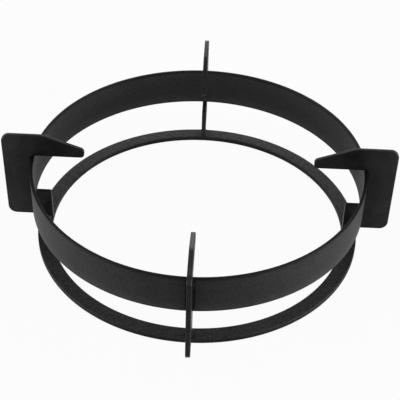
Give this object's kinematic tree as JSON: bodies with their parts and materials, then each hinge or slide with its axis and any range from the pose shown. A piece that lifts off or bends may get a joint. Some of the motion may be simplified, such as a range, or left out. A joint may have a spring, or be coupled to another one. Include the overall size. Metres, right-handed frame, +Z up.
{
  "type": "wok ring",
  "caption": "Wok support for a gas hob: a flat lower ring and an upper band joined by notched plates, whose ears sit on the hob and whose arms hold a round-bottomed pan.",
  "frame": {"origin": "centre of the lower ring's underside", "axes": "+Z up along the rings' common axis; the four plates stand on the X and Y axes"},
  "size_m": [0.256, 0.256, 0.0715],
  "materials": {
    "black_coating": "satin black enamel on steel",
    "weld_coating": "satin black enamel over weld beads"
  },
  "bodies": {
    "root": {"upper_band": "black_coating", "lower_ring": "black_coating", "support_plate_right": "black_coating", "support_plate_back": "black_coating", "support_plate_left": "black_coating", "support_plate_front": "black_coating", "band_welds_right": "weld_coating", "band_welds_back": "weld_coating", "band_welds_left": "weld_coating", "band_welds_front": "weld_coating", "foot_welds_right": "weld_coating", "foot_welds_back": "weld_coating", "foot_welds_left": "weld_coating", "foot_welds_front": "weld_coating"}
  },
  "joints": []
}
